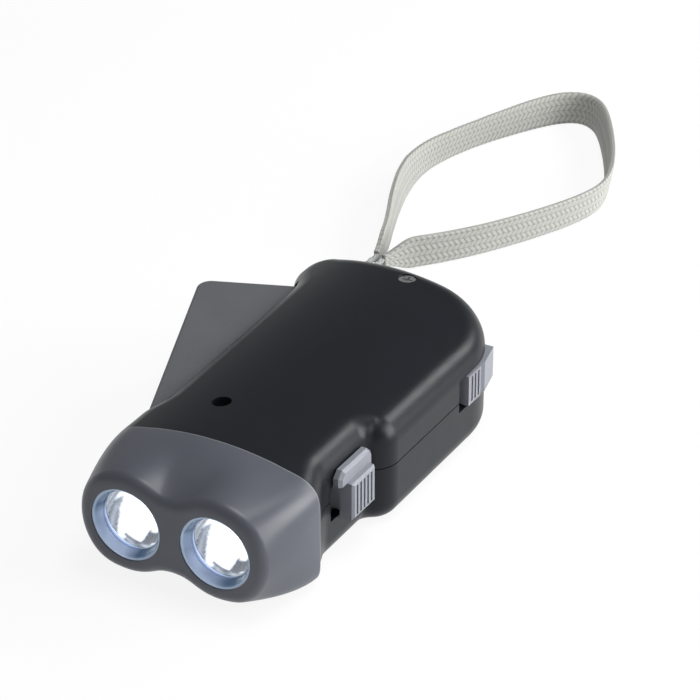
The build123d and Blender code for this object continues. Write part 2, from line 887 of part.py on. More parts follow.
# ================================================================== squeeze lever
sector_phase = pinion_bearing - lever_open_angle
web_inner = lever_nose_radius - lever_skin


def lever_sketch_plane(z):
    """Level plane at height z over the lever pivot, turned with the lever at rest."""
    return turned(lever_pivot, z, lever_open_angle)


nose_angle = atan2(lever_length, lever_inner_width) - acos(lever_nose_radius / lever_sweep)
nose_end = (lever_nose_radius * cos(nose_angle), lever_nose_radius * sin(nose_angle))

with BuildPart() as squeeze_lever:
    with BuildSketch(lever_sketch_plane(lever_bottom)):
        with BuildLine():
            FilletPolyline(
                (-lever_nose_radius, 0),
                (-lever_nose_radius, lever_length),
                (lever_inner_width, lever_length),
                nose_end,
                radius=[lever_corner, lever_tip_round],
            )
            ThreePointArc(nose_end, (0, -lever_nose_radius), (-lever_nose_radius, 0))
        make_face()
    extrude(amount=lever_height)
    # the outer edges are rounded, the inner one stays sharp
    top_edges = squeeze_lever.faces().sort_by(Axis.Z)[-1].edges()
    low_edges = squeeze_lever.faces().sort_by(Axis.Z)[0].edges()
    fillet(top_edges + low_edges, radius=lever_edge_round)
    # hollow between the two plates, open towards the inside
    with BuildSketch(lever_sketch_plane(lever_bottom + lever_plate)):
        with Locations((-web_inner, lever_length - lever_rear_wall)):
            Rectangle(body_height, 2 * lever_length, align=(Align.MIN, Align.MAX))
        with Locations((lever_nose_radius, lever_length - 2 * lever_rear_wall)):
            Rectangle(body_height, body_height, align=(Align.MIN, Align.MIN))
    extrude(amount=lever_height - 2 * lever_plate, mode=Mode.SUBTRACT)
    # hub, and the web with the toothed sector
    with BuildSketch(lever_sketch_plane(lever_bottom)):
        Circle(lever_hub_radius)
    extrude(amount=lever_height)
    with BuildSketch(lever_sketch_plane(sector_bottom)):
        with BuildLine():
            teeth = gear_points(
                sector_full_teeth,
                sector_module,
                sector_phase,
                -sector_teeth_before,
                sector_teeth_after,
            )
            Polyline(
                (0, -web_foot),
                *teeth,
                (-web_inner - web_sink, sector_module * sector_full_teeth / 2 - web_drop),
                (-web_inner - web_sink, web_foot),
                close=True,
            )
        make_face()
    extrude(amount=sector_thickness)
    # peg that the free leg of the spring pushes against
    with BuildSketch(lever_sketch_plane(sector_top)):
        peg_x = spring_radius - spring_wire_radius - spring_peg_radius
        with Locations((peg_x, spring_leg - spring_tip)):
            Circle(spring_peg_radius)
    extrude(amount=lever_top - lever_plate - sector_top)
    # window that the lock pin enters when the lever is folded
    with BuildSketch(lever_sketch_plane(lever_bottom + lever_plate)):
        with Locations((sum(catch_window) / 2, lever_length)):
            Rectangle(catch_window[1] - catch_window[0], 4 * lever_rear_wall)
    extrude(amount=catch_window_height, mode=Mode.SUBTRACT)
    with BuildSketch(lever_sketch_plane(0)):
        Circle(pivot_pin_radius + running_gap)
    extrude(amount=body_height, mode=Mode.SUBTRACT)
squeeze_lever.part.label = "squeeze_lever"
export_step(squeeze_lever.part, "parts/squeeze_lever.step")

with BuildPart() as lever_pivot_pin:
    pin_bottom = lever_bottom - face_gap - 2 * axle_seat
    pin_top = lever_top + face_gap + axle_seat
    with BuildSketch(turned(lever_pivot, pin_bottom, 0)):
        Circle(pivot_pin_radius)
    extrude(amount=pin_top - pin_bottom)
lever_pivot_pin.part.label = "lever_pivot_pin"
export_step(lever_pivot_pin.part, "parts/lever_pivot_pin.step")

# the coil fills the room between the lever's web and its upper plate
spring_bottom = sector_top + face_gap + spring_wire_radius
spring_room = lever_top - lever_plate - sector_top - 4 * spring_wire_radius
full_turns = spring_turns + lever_open_angle / 360
spring_pitch = (spring_room - 2 * face_gap) / full_turns
spring_height = spring_pitch * full_turns
pivot_point = Vector(*lever_pivot, spring_bottom)
with BuildPart() as return_spring:
    with BuildLine():
        coil_line = Helix(spring_pitch, spring_height, spring_radius, center=pivot_point)
    with BuildSketch(Plane(coil_line @ 0, z_dir=coil_line % 0)):
        Circle(spring_wire_radius)
    sweep(is_frenet=True)
    # the fixed leg leaves forwards, the free leg runs along the lever
    for end, leg_way in ((0, (coil_line % 0) * -1), (1, coil_line % 1)):
        with BuildSketch(Plane(coil_line @ end, z_dir=leg_way)):
            Circle(spring_wire_radius)
        extrude(amount=spring_leg)
return_spring.part.label = "return_spring"
export_step(return_spring.part, "parts/return_spring.step")

# ================================================================== gears
for axle_name, (x, y) in axle_centres.items():
    with BuildPart() as axle:
        axle_bottom = axle_boss_top - axle_seat
        with BuildSketch(turned((x, y), axle_bottom, 0)):
            Circle(axle_radius)
        extrude(amount=top_boss_bottom + axle_seat - axle_bottom)
    axle.part.label = axle_name
    export_step(axle.part, f"parts/{axle_name}.step")


def gear_disc(centre, z, thickness, teeth, module, phase):
    """A toothed disc over centre from height z upwards."""
    with BuildPart() as disc:
        with BuildSketch(turned(centre, z, 0)):
            with BuildLine():
                Polyline(*gear_points(teeth, module, phase), close=True)
            make_face()
        extrude(amount=thickness)
    return disc.part


def gear_hub(centre, radius):
    """The hub of the gear in hand between its two bosses, and its bore."""
    with Locations((*centre, axle_boss_top + face_gap)):
        Cylinder(
            radius,
            top_boss_bottom - axle_boss_top - 2 * face_gap,
            align=(Align.CENTER, Align.CENTER, Align.MIN),
        )
    with Locations((*centre, body_height / 2)):
        Cylinder(axle_radius + running_gap, body_height, mode=Mode.SUBTRACT)


first_pinion_phase = mesh_phase(
    sector_full_teeth, pinion_bearing, pinion_bearing, first_pinion_teeth
)
first_wheel_phase = 0.0
second_pinion_phase = mesh_phase(
    first_wheel_teeth, first_wheel_phase, second_bearing, second_pinion_teeth
)
second_wheel_phase = 0.0
rotor_pinion_phase = mesh_phase(
    second_wheel_teeth, second_wheel_phase, third_bearing, rotor_pinion_teeth
)

with BuildPart() as first_gear:
    pinion = gear_disc(
        first_centre,
        sector_bottom - pinion_overhang,
        first_wheel_bottom - sector_bottom + pinion_overhang,
        first_pinion_teeth,
        sector_module,
        first_pinion_phase,
    )
    wheel = gear_disc(
        first_centre,
        first_wheel_bottom,
        wheel_thickness,
        first_wheel_teeth,
        wheel_module,
        first_wheel_phase,
    )
    add([pinion, wheel])
    gear_hub(first_centre, hub_radius)
first_gear.part.label = "first_gear"
export_step(first_gear.part, "parts/first_gear.step")

with BuildPart() as second_gear:
    wheel = gear_disc(
        second_centre,
        second_wheel_bottom,
        wheel_thickness,
        second_wheel_teeth,
        wheel_module,
        second_wheel_phase,
    )
    pinion = gear_disc(
        second_centre,
        first_wheel_bottom - pinion_overhang,
        wheel_thickness + 2 * pinion_overhang,
        second_pinion_teeth,
        wheel_module,
        second_pinion_phase,
    )
    add([wheel, pinion])
    gear_hub(second_centre, hub_radius)
second_gear.part.label = "second_gear"
export_step(second_gear.part, "parts/second_gear.step")

with BuildPart() as rotor_hub:
    pinion = gear_disc(
        rotor_centre,
        second_wheel_bottom - pinion_overhang,
        wheel_thickness + 2 * pinion_overhang,
        rotor_pinion_teeth,
        wheel_module,
        rotor_pinion_phase,
    )
    add(pinion)
    with BuildSketch(turned(rotor_centre, magnet_bottom, 0)):
        Circle(magnet_bore_radius)
    extrude(amount=magnet_height)
    with BuildSketch(turned(rotor_centre, magnet_bottom - magnet_seat, 0)):
        Circle(magnet_bore_radius + magnet_lip)
    extrude(amount=magnet_seat)
    gear_hub(rotor_centre, hub_radius)
rotor_hub.part.label = "rotor_hub"
export_step(rotor_hub.part, "parts/rotor_hub.step")

with BuildPart() as ring_magnet:
    with BuildSketch(turned(rotor_centre, magnet_bottom, 0)):
        Circle(magnet_radius)
        Circle(magnet_bore_radius, mode=Mode.SUBTRACT)
    extrude(amount=magnet_height)
    rims = ring_magnet.edges().filter_by(GeomType.CIRCLE).sort_by(SortBy.RADIUS)[-2:]
    chamfer(rims, length=magnet_chamfer)
ring_magnet.part.label = "ring_magnet"
export_step(ring_magnet.part, "parts/ring_magnet.step")

# ================================================================== generator
coil_along = stator_reach - stator_arm / 2
core_height = stator_thickness + 2 * bobbin_wall
core_width = stator_arm + 2 * bobbin_wall
coil_plane = Plane(
    (*stator_point(coil_along, -stator_inner_width / 2), (stator_bottom + stator_top) / 2),
    x_dir=(0, 0, 1),
    z_dir=(sin(radians(stator_bearing)), -cos(radians(stator_bearing)), 0),
)

with BuildPart() as stator_core:
    with BuildSketch(turned(rotor_centre, stator_bottom, stator_bearing)):
        outer_width = stator_inner_width + 2 * stator_arm
        with Locations((stator_root, 0)):
            Rectangle(
                stator_reach - stator_root, outer_width, align=(Align.MIN, Align.CENTER)
            )
        Rectangle(
            stator_reach - stator_arm,
            stator_inner_width,
            align=(Align.MIN, Align.CENTER),
            mode=Mode.SUBTRACT,
        )
        Circle(magnet_radius + air_gap, mode=Mode.SUBTRACT)
    extrude(amount=stator_thickness)
stator_core.part.label = "stator_core"
export_step(stator_core.part, "parts/stator_core.step")

with BuildPart() as coil_bobbin:
    with BuildSketch(coil_plane):
        Circle(bobbin_flange_radius)
    extrude(amount=stator_inner_width)
    with BuildSketch(coil_plane.offset(bobbin_flange)):
        Circle(2 * bobbin_flange_radius)
        Rectangle(core_height, core_width, mode=Mode.SUBTRACT)
    extrude(amount=stator_inner_width - 2 * bobbin_flange, mode=Mode.SUBTRACT)
    with BuildSketch(coil_plane):
        Rectangle(stator_thickness, stator_arm)
    extrude(amount=stator_inner_width, mode=Mode.SUBTRACT)
coil_bobbin.part.label = "coil_bobbin"
export_step(coil_bobbin.part, "parts/coil_bobbin.step")

with BuildPart() as coil_winding:
    with BuildSketch(coil_plane.offset(bobbin_flange)):
        Circle(coil_radius)
        Rectangle(core_height, core_width, mode=Mode.SUBTRACT)
    extrude(amount=stator_inner_width - 2 * bobbin_flange)
coil_winding.part.label = "coil_winding"
export_step(coil_winding.part, "parts/coil_winding.step")


# ================================================================== sliders
def grooves(count, front_edge, face_x, z, height):
    """Upright grip grooves across the outer face of the slider in hand."""
    for number in range(count):
        with Locations((face_x, front_edge + rib_lead + number * rib_pitch, z)):
            Box(2 * rib_depth, rib_groove, height - 2 * rib_margin, mode=Mode.SUBTRACT)


with BuildPart() as switch_knob:
    plate_x = notch_x + face_gap
    plate_face_x = plate_x + switch_plate
    pad_face_x = plate_face_x + switch_pad_raise
    plate_middle = (switch_plate_front + switch_plate_rear) / 2
    pad_middle = switch_pad_front + switch_pad_length / 2
    with BuildSketch(Plane.YZ.offset(plate_x)):
        with Locations((plate_middle, (switch_plate_bottom + switch_plate_top) / 2)):
            Rectangle(
                switch_plate_rear - switch_plate_front, switch_plate_top - switch_plate_bottom
            )
    extrude(amount=switch_plate)
    chamfer(switch_knob.edges().filter_by(Axis.X), length=switch_corner)
    chamfer(switch_knob.faces().sort_by(Axis.X)[-1].edges(), length=switch_bevel)
    # the plate ends above the opening in front of the pad
    with BuildSketch(Plane.YZ.offset(plate_x)):
        with Locations((switch_pad_front, switch_pad_z + switch_pad_height / 2)):
            Rectangle(body_height, body_height, align=(Align.MAX, Align.MAX))
    extrude(amount=2 * switch_plate, mode=Mode.SUBTRACT)
    with BuildSketch(Plane.YZ.offset(plate_x + switch_plate / 2)):
        with Locations((pad_middle, switch_pad_z)):
            Rectangle(switch_pad_length, switch_pad_height)
    extrude(amount=switch_plate / 2 + switch_pad_raise)
    chamfer(switch_knob.faces().sort_by(Axis.X)[-1].edges(), length=pad_bevel)
    grooves(switch_ribs, switch_pad_front, pad_face_x, switch_pad_z, switch_pad_height)
    # stem through the wall and the catch plate behind it
    stem_front = switch_pad_front + switch_undercut
    with Locations((plate_x + switch_plate / 2, stem_front, switch_pad_z)):
        Box(
            plate_x + switch_plate / 2 - switch_contact_x,
            switch_stem_rear - stem_front,
            switch_stem_height,
            align=(Align.MAX, Align.MIN, Align.CENTER),
        )
    with Locations((notch_x - wall - face_gap, stem_front, switch_pad_z)):
        Box(
            catch_plate,
            switch_stem_rear - stem_front,
            switch_window_height + 2 * catch_overlap,
            align=(Align.MAX, Align.MIN, Align.CENTER),
        )
switch_knob.part.label = "switch_knob"
export_step(switch_knob.part, "parts/switch_knob.step")

lock_pin_x = lever_pivot[0] + sum(catch_window) / 2
lock_pin_tip = lever_pivot[1] + hypot(lever_length, lever_nose_radius) + lever_gap
lock_arm_front = folded_rear_y + lock_travel + lock_gap
lock_arm_rear = lock_arm_front + lock_arm_width
with BuildPart() as lock_slider:
    # block that fills the slot, with a flat pad in front and a thumb catch behind
    with BuildSketch(level(lock_centre_z - lock_slot_height / 2 + face_gap)):
        with BuildLine():
            Polyline(
                (lock_inner_x, lock_front_y),
                (lock_pad_x, lock_front_y),
                (lock_pad_x, lock_pad_rear_y),
                (lock_pad_x - lock_groove_depth, lock_pad_rear_y + lock_groove_half),
                (lock_pad_x, lock_pad_rear_y + 2 * lock_groove_half),
                (lock_catch_x, lock_rear_y),
                (lock_inner_x, lock_rear_y),
                close=True,
            )
        make_face()
    extrude(amount=lock_slot_height - 2 * face_gap)
    grooves(lock_ribs, lock_front_y, lock_pad_x, lock_centre_z, lock_slot_height)
    # catch plate behind the wall
    with BuildSketch(level(lock_arm_bottom)):
        with Locations((lock_inner_x, lock_front_y - lock_plate_lead)):
            Rectangle(catch_plate, lock_plate_length, align=(Align.MIN, Align.MIN))
    extrude(amount=lock_centre_z + lock_slot_height / 2 + lock_overlap - lock_arm_bottom)
    # arm across the casing to the rear edge of the folded lever
    with BuildSketch(level(lock_arm_bottom)):
        with BuildLine():
            arm_root_y = lock_front_y + lock_plate_lead
            arm_outer_x = lock_inner_x + catch_plate
            arm_inner_x = arm_outer_x - lock_arm_width
            Polyline(
                (arm_outer_x, arm_root_y),
                (arm_outer_x, lock_arm_rear - lock_arm_elbow),
                (arm_outer_x - lock_arm_elbow, lock_arm_rear),
                (lock_pin_x - lock_pin_half, lock_arm_rear),
                (lock_pin_x - lock_pin_half, lock_pin_tip),
                (lock_pin_x + lock_pin_half, lock_pin_tip),
                (lock_pin_x + lock_pin_half, lock_arm_front),
                (arm_inner_x - lock_arm_elbow, lock_arm_front),
                (arm_inner_x, lock_arm_front - lock_arm_elbow),
                (arm_inner_x, arm_root_y),
                close=True,
            )
        make_face()
    extrude(amount=lock_arm_height)
lock_slider.part.label = "lock_slider"
export_step(lock_slider.part, "parts/lock_slider.step")

# ================================================================== electrics
with BuildPart() as main_board:
    with BuildSketch(level(main_board_height)):
        with Locations(main_board_centre):
            Rectangle(main_board_width, main_board_length)
    extrude(amount=board_thickness)
main_board.part.label = "main_board"
export_step(main_board.part, "parts/main_board.step")

board_top = main_board_height + board_thickness
with BuildPart() as slide_switch:
    switch_middle = (switch_window_front + switch_window_rear) / 2
    with Locations((switch_box_x, switch_middle, board_top)):
        Box(
            switch_box_depth,
            switch_box_length,
            switch_box_height,
            align=(Align.MIN, Align.CENTER, Align.MIN),
        )
    # the knob's stem runs in a channel across its face
    with Locations((switch_contact_x - face_gap, switch_middle, switch_pad_z)):
        Box(
            switch_channel,
            switch_box_length,
            switch_stem_height + 2 * face_gap,
            align=(Align.MIN, Align.CENTER, Align.CENTER),
            mode=Mode.SUBTRACT,
        )
slide_switch.part.label = "slide_switch"
export_step(slide_switch.part, "parts/slide_switch.step")

with BuildPart() as battery_pack:
    cell_length = battery_length / battery_cells
    profile_plane = Plane(
        (battery_centre[0], battery_centre[1], board_top + battery_radius),
        x_dir=(0, 1, 0),
        z_dir=(1, 0, 0),
    )
    with BuildSketch(profile_plane):
        with GridLocations(cell_length, 1, battery_cells, 1):
            RectangleRounded(cell_length, 2 * battery_radius, cell_round)
        with Locations((0, -battery_radius)):
            Rectangle(battery_length, 2 * battery_radius, mode=Mode.SUBTRACT)
    revolve(axis=Axis(profile_plane.origin, (0, 1, 0)))
battery_pack.part.label = "battery_pack"
export_step(battery_pack.part, "parts/battery_pack.step")

with BuildPart() as battery_contacts:
    with Locations((*battery_centre, board_top)):
        with GridLocations(1, battery_length + contact_thickness, 1, 2):
            Box(
                contact_width,
                contact_thickness,
                2 * contact_share * battery_radius,
                align=(Align.CENTER, Align.CENTER, Align.MIN),
            )
battery_contacts.part.label = "battery_contacts"
export_step(battery_contacts.part, "parts/battery_contacts.step")

# ================================================================== strap
with BuildPart() as strap_pin:
    with BuildSketch(turned(strap_pin_centre, strap_window_bottom - 2 * axle_seat, 0)):
        Circle(strap_pin_radius)
    extrude(amount=strap_window_top - strap_window_bottom + 4 * axle_seat)
strap_pin.part.label = "strap_pin"
export_step(strap_pin.part, "parts/strap_pin.step")


def corner_radii(points):
    """Radius of each inner corner of a route, as large as its two runs allow."""
    radii = []
    for before, here, after in zip(points, points[1:], points[2:]):
        run_in = Vector(*here) - Vector(*before)
        run_out = Vector(*after) - Vector(*here)
        turn = radians(run_in.get_angle(run_out))
        radii.append(0.45 * min(run_in.length, run_out.length) / tan(turn / 2))
    return radii


strap_route = [
    (-32.4, 91.6),
    (-35.0, 101.0),
    (-39.5, 112.0),
    (-43.5, 123.0),
    (-47.0, 134.5),
    (-48.9, 146.5),
    (-47.2, 157.5),
    (-43.8, 168.0),
    (-39.6, 177.0),
    (-35.0, 185.5),
    (-30.5, 191.8),
    (-25.6, 194.2),
    (-20.6, 191.6),
    (-16.0, 185.6),
    (-10.2, 176.0),
    (-4.8, 165.8),
    (-0.9, 156.2),
    (0.6, 148.0),
    (-1.4, 139.4),
    (-5.4, 130.0),
    (-10.2, 120.6),
    (-15.6, 111.4),
    (-21.6, 103.2),
    (-27.6, 96.4),
    (-29.8, 90.4),
]
strap_radii = corner_radii(strap_route)
print("strap radii", [round(radius, 1) for radius in strap_radii])
with BuildPart() as wrist_strap:
    with BuildSketch(level(strap_lift)):
        with BuildLine():
            strap_line = FilletPolyline(*strap_route, radius=strap_radii)
            offset(amount=strap_thickness / 2, side=Side.BOTH)
        make_face()
    extrude(amount=strap_width)
wrist_strap.part.label = "wrist_strap"
export_step(wrist_strap.part, "parts/wrist_strap.step")
print("strap length", round(strap_line.length, 1))

# the thin cord runs from the loop's ends round the strap pin
turn_radius = strap_pin_radius + strap_cord_radius + running_gap
pin_x, pin_y = strap_pin_centre
cord_route = [
    (-32.2, 92.4, 4.6),
    (-24.6, 70.0, 9.6),
    (pin_x - turn_radius, pin_y + strap_cord_lead, 13.4),
    (pin_x - turn_radius, pin_y - turn_radius, 13.4),
    (pin_x + turn_radius, pin_y - turn_radius, 13.4),
    (pin_x + turn_radius, pin_y + strap_cord_lead, 13.4),
    (-22.4, 70.0, 9.6),
    (-30.0, 91.4, 4.6),
]
cord_radii = corner_radii(cord_route)
cord_radii[2:4] = [0.96 * turn_radius] * 2
with BuildPart() as strap_cord:
    with BuildLine():
        cord_line = FilletPolyline(*cord_route, radius=cord_radii)
    with BuildSketch(Plane(cord_line @ 0, z_dir=cord_line % 0)):
        Circle(strap_cord_radius)
    sweep()
strap_cord.part.label = "strap_cord"
export_step(strap_cord.part, "parts/strap_cord.step")
print("cord radii", [round(radius, 1) for radius in cord_radii])
print("cord length", round(cord_line.length, 1))
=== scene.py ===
"""Hand-squeezed dynamo torch: finishes, braided wrist strap, lit lamps, floor and light."""

from math import atan2, cos, degrees, hypot, pi, radians, sin

import bpy
import numpy as np
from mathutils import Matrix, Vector


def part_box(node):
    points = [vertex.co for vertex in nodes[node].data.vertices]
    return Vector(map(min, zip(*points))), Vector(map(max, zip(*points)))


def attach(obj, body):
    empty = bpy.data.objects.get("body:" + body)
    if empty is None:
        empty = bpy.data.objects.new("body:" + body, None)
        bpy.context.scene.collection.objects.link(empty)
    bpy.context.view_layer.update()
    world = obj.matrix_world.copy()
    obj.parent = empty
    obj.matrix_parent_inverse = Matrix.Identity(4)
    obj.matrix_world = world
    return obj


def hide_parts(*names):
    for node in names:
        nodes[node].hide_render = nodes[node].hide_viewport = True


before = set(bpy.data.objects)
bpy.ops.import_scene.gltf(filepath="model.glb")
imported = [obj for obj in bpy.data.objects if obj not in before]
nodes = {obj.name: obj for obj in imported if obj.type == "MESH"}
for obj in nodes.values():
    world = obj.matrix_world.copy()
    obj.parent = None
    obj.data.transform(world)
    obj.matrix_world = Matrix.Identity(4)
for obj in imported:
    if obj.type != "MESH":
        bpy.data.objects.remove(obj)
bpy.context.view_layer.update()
MM = 0.001

# ------------------------------------------------------------------ camera
CAMERA_PLACE = (0.284841, -0.479813, 0.348773)
CAMERA_TILT = 60.433
CAMERA_TURN = 29.609
CAMERA_LENS = 154.29
CAMERA_SENSOR = 36

camera = bpy.data.objects.new("camera", bpy.data.cameras.new("camera"))
bpy.context.scene.collection.objects.link(camera)
camera.location = CAMERA_PLACE
camera.rotation_euler = (radians(CAMERA_TILT), 0, radians(CAMERA_TURN))
camera.data.lens = CAMERA_LENS
camera.data.sensor_width = CAMERA_SENSOR
camera.data.clip_start = 0.01
bpy.context.scene.camera = camera
bpy.context.scene.view_settings.view_transform = "Standard"


# ------------------------------------------------------------------ material helpers
class Finish:
    """A material with its Principled shader and short ways to add and join nodes."""

    def __init__(self, name, colour, roughness, **sockets):
        self.material = bpy.data.materials.new(name)
        self.material.use_nodes = True
        self.tree = self.material.node_tree
        self.shader = self.tree.nodes["Principled BSDF"]
        self.colour = (*colour, 1)
        self.shader.inputs["Base Color"].default_value = self.colour
        self.shader.inputs["Roughness"].default_value = roughness
        for socket, value in sockets.items():
            self.shader.inputs[socket.replace("_", " ")].default_value = value
        self.place = self.node("ShaderNodeTexCoord").outputs["Object"]

    def node(self, kind, links=(), **settings):
        """A new node with its settings, and its inputs joined to outputs or set to values."""
        made = self.tree.nodes.new(kind)
        for setting, value in settings.items():
            setattr(made, setting, value)
        for socket, source in dict(links).items():
            if isinstance(source, bpy.types.NodeSocket):
                self.tree.links.new(source, made.inputs[socket])
            else:
                made.inputs[socket].default_value = source
        return made

    def math(self, operation, first, second=0.0):
        return self.node("ShaderNodeMath", {0: first, 1: second}, operation=operation).outputs[0]

    def noise(self, size, detail=2.0, stretch=(1, 1, 1)):
        """Noise whose features are about size metres across."""
        place = self.node("ShaderNodeMapping", {"Vector": self.place, "Scale": stretch})
        texture = self.node(
            "ShaderNodeTexNoise",
            {"Vector": place.outputs[0], "Scale": 1 / size, "Detail": detail},
        )
        return texture.outputs["Fac"]

    def remap(self, value, low, high, start, end):
        """start where value is low or less, end where it is high or more."""
        made = self.node(
            "ShaderNodeMapRange", {0: value, 1: low, 2: high, 3: start, 4: end}
        )
        return made.outputs[0]

    def tint(self, share, colour, other):
        """colour where share is 0 and other where it is 1."""
        made = self.node("ShaderNodeMix", data_type="RGBA")
        self.tree.links.new(share, made.inputs[0])
        for index, value in ((6, colour), (7, other)):
            if isinstance(value, bpy.types.NodeSocket):
                self.tree.links.new(value, made.inputs[index])
            else:
                made.inputs[index].default_value = value
        return made.outputs[2]

    def to(self, socket, value):
        """Joins a value to the shader's socket."""
        self.tree.links.new(value, self.shader.inputs[socket])

    def bump(self, height, depth, strength=1.0, under=None):
        """Relief of depth metres; returns the normal, so that reliefs add up."""
        links = {"Height": height, "Distance": depth, "Strength": strength}
        if under is not None:
            links["Normal"] = under
        normal = self.node("ShaderNodeBump", links).outputs[0]
        self.to("Normal", normal)
        return normal

    def shade(self, factor):
        """The base colour made lighter or darker by factor."""
        return tuple(min(1.0, part * factor) for part in self.colour[:3]) + (1,)


MOTTLE_SIZE = 16 * MM
GLOSS_PATCH = 3.5 * MM
LINE_DEPTH = 0.008 * MM


def moulded(name, colour, roughness, grain, grain_depth, **sockets):
    """Moulded plastic: flow mottling, uneven gloss and a fine eroded grain."""
    finish = Finish(name, colour, roughness, **sockets)
    mottle = finish.noise(MOTTLE_SIZE, 3.0)
    finish.to("Base Color", finish.tint(mottle, finish.shade(0.86), finish.shade(1.16)))
    gloss = finish.noise(GLOSS_PATCH, 3.0)
    finish.to("Roughness", finish.remap(gloss, 0.3, 0.7, roughness - 0.015, roughness + 0.02))
    finish.bump(finish.noise(grain, 3.0), grain_depth)
    return finish


def metal(name, colour, roughness, stretch, scratch=0.6 * MM):
    """Metal with fine drawn or turned lines, longer along the small stretch."""
    finish = Finish(name, colour, roughness, Metallic=1.0)
    lines = finish.noise(scratch, 4.0, stretch)
    finish.to("Base Color", finish.tint(lines, finish.shade(0.8), finish.shade(1.15)))
    finish.to("Roughness", finish.remap(lines, 0.3, 0.7, roughness - 0.08, roughness + 0.1))
    finish.bump(lines, LINE_DEPTH)
    return finish


def wear(finish, *names):
    """Gives CAD nodes this finish."""
    for name in names:
        slots = nodes[name].data.materials
        if not slots:
            slots.append(finish.material)
        for index in range(len(slots)):
            slots[index] = finish.material


# ------------------------------------------------------------------ cord lines
SAME_PLACE = 1e-7


def smooth_line(name, route, steps):
    """Points on the NURBS line whose control points are the route, steps to each span."""
    curve = bpy.data.curves.new(name, "CURVE")
    curve.dimensions = "3D"
    spline = curve.splines.new("NURBS")
    spline.points.add(len(route) - 1)
    for point, place in zip(spline.points, route):
        point.co = (*place, 1)
    spline.order_u = 3
    spline.use_endpoint_u = True
    spline.resolution_u = steps
    holder = bpy.data.objects.new(name, curve)
    bpy.context.scene.collection.objects.link(holder)
    bpy.context.view_layer.update()
    mesh = bpy.data.meshes.new_from_object(holder)
    line = np.array([vertex.co for vertex in mesh.vertices], float)
    bpy.data.objects.remove(holder)
    bpy.data.meshes.remove(mesh)
    keep = np.ones(len(line), bool)
    keep[1:] = np.linalg.norm(np.diff(line, axis=0), axis=1) > SAME_PLACE
    return line[keep]


def distances(line):
    """How far along the line each of its points is."""
    return np.concatenate([[0], np.cumsum(np.linalg.norm(np.diff(line, axis=0), axis=1))])


def swept(name, line, sideways, upward, body):
    """A closed mesh round a line. sideways and upward hold each ring's offsets from it."""
    along = np.gradient(line, axis=0)
    along /= np.linalg.norm(along, axis=1)[:, None]
    side = np.cross((0, 0, 1), along)
    side /= np.linalg.norm(side, axis=1)[:, None]
    up = np.cross(along, side)
    rings = (
        line[:, None]
        + side[:, None] * sideways[:, :, None]
        + up[:, None] * upward[:, :, None]
    )
    count, around = sideways.shape
    ring, place = np.meshgrid(np.arange(count - 1), np.arange(around), indexing="ij")
    after = (place + 1) % around
    faces = np.stack(
        [
            ring * around + place,
            ring * around + after,
            (ring + 1) * around + after,
            (ring + 1) * around + place,
        ],
        axis=-1,
    ).reshape(-1, 4)
    mesh = bpy.data.meshes.new(name)
    ends = [list(reversed(range(around))), list(range((count - 1) * around, count * around))]
    mesh.from_pydata(rings.reshape(-1, 3).tolist(), [], faces.tolist() + ends)
    run = distances(line)
    corner_run = np.stack([run[ring], run[ring], run[ring + 1], run[ring + 1]], axis=-1)
    corner_turn = np.stack([place, place + 1, place + 1, place], axis=-1) / around
    pairs = np.stack([corner_run.reshape(-1), corner_turn.reshape(-1)], axis=-1)
    pairs = np.concatenate([pairs, np.zeros((2 * around, 2))])
    layer = mesh.uv_layers.new(name="run_and_turn")
    layer.data.foreach_set("uv", pairs.astype(np.float32).ravel())
    mesh.polygons.foreach_set("use_smooth", [True] * len(mesh.polygons))
    mesh.update()
    piece = bpy.data.objects.new(name, mesh)
    bpy.context.scene.collection.objects.link(piece)
    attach(piece, body)
    return piece


# ------------------------------------------------------------------ wrist strap
STRAP_WIDTH = 8.4 * MM
STRAP_THICKNESS = 1.3 * MM
STRAP_LIFT = 0.2 * MM
STRAP_ROUTE = [
    (-32.4, 91.6), (-35.0, 101.0), (-39.5, 112.0), (-43.5, 123.0), (-47.0, 134.5),
    (-48.9, 146.5), (-47.2, 157.5), (-43.8, 168.0), (-39.6, 177.0), (-35.0, 185.5),
    (-30.5, 191.8), (-25.6, 194.2), (-20.6, 191.6), (-16.0, 185.6), (-10.2, 176.0),
    (-4.8, 165.8), (-0.9, 156.2), (0.6, 148.0), (-1.4, 139.4), (-5.4, 130.0),
    (-10.2, 120.6), (-15.6, 111.4), (-21.6, 103.2), (-27.6, 96.4), (-29.8, 90.4),
]
# how far the upper edge leans out of the loop at each point of the route
STRAP_LEAN = [
    0.0, 0.0, 0.3, 0.9, 1.4, 1.5, 0.4, -0.8, -1.2, -0.6, 0.5, 1.3, 1.75, 1.75, 1.7,
    1.6, 1.5, 1.4, 1.3, 1.2, 1.0, 0.8, 0.5, 0.2, 0.0,
]
STRAP_CENTRE = STRAP_LIFT + STRAP_WIDTH / 2
STRAP_STEPS = 36            # rings to each span of the route
STRAP_AROUND = 48           # points on each ring
EDGE_SHARE = 0.55           # thickness left at the strap's edges
EDGE_DRAWN_IN = 0.35 * MM
BRAID_COLUMNS = 6
BRAID_STITCH = 1.5 * MM
BRAID_RELIEF = 0.11 * MM
STITCH_SLANT = 0.8          # stitches that a column runs ahead across its width
COLUMN_RELIEF = 0.1 * MM
COLUMN_ROUNDING = 0.6       # less makes flatter columns with sharper hollows between
GATHER_LENGTH = 9 * MM
GATHERED_SHARE = 0.4        # width left where the ends meet the cord


def braid_height(run, across):
    """Relief from 0 to 1 of a flat braid: slanted stitches that turn back at each column."""
    column = across * BRAID_COLUMNS
    zigzag = np.abs((column + 1) % 2 - 1)
    return np.abs(np.sin(pi * (run / BRAID_STITCH + STITCH_SLANT * zigzag)))


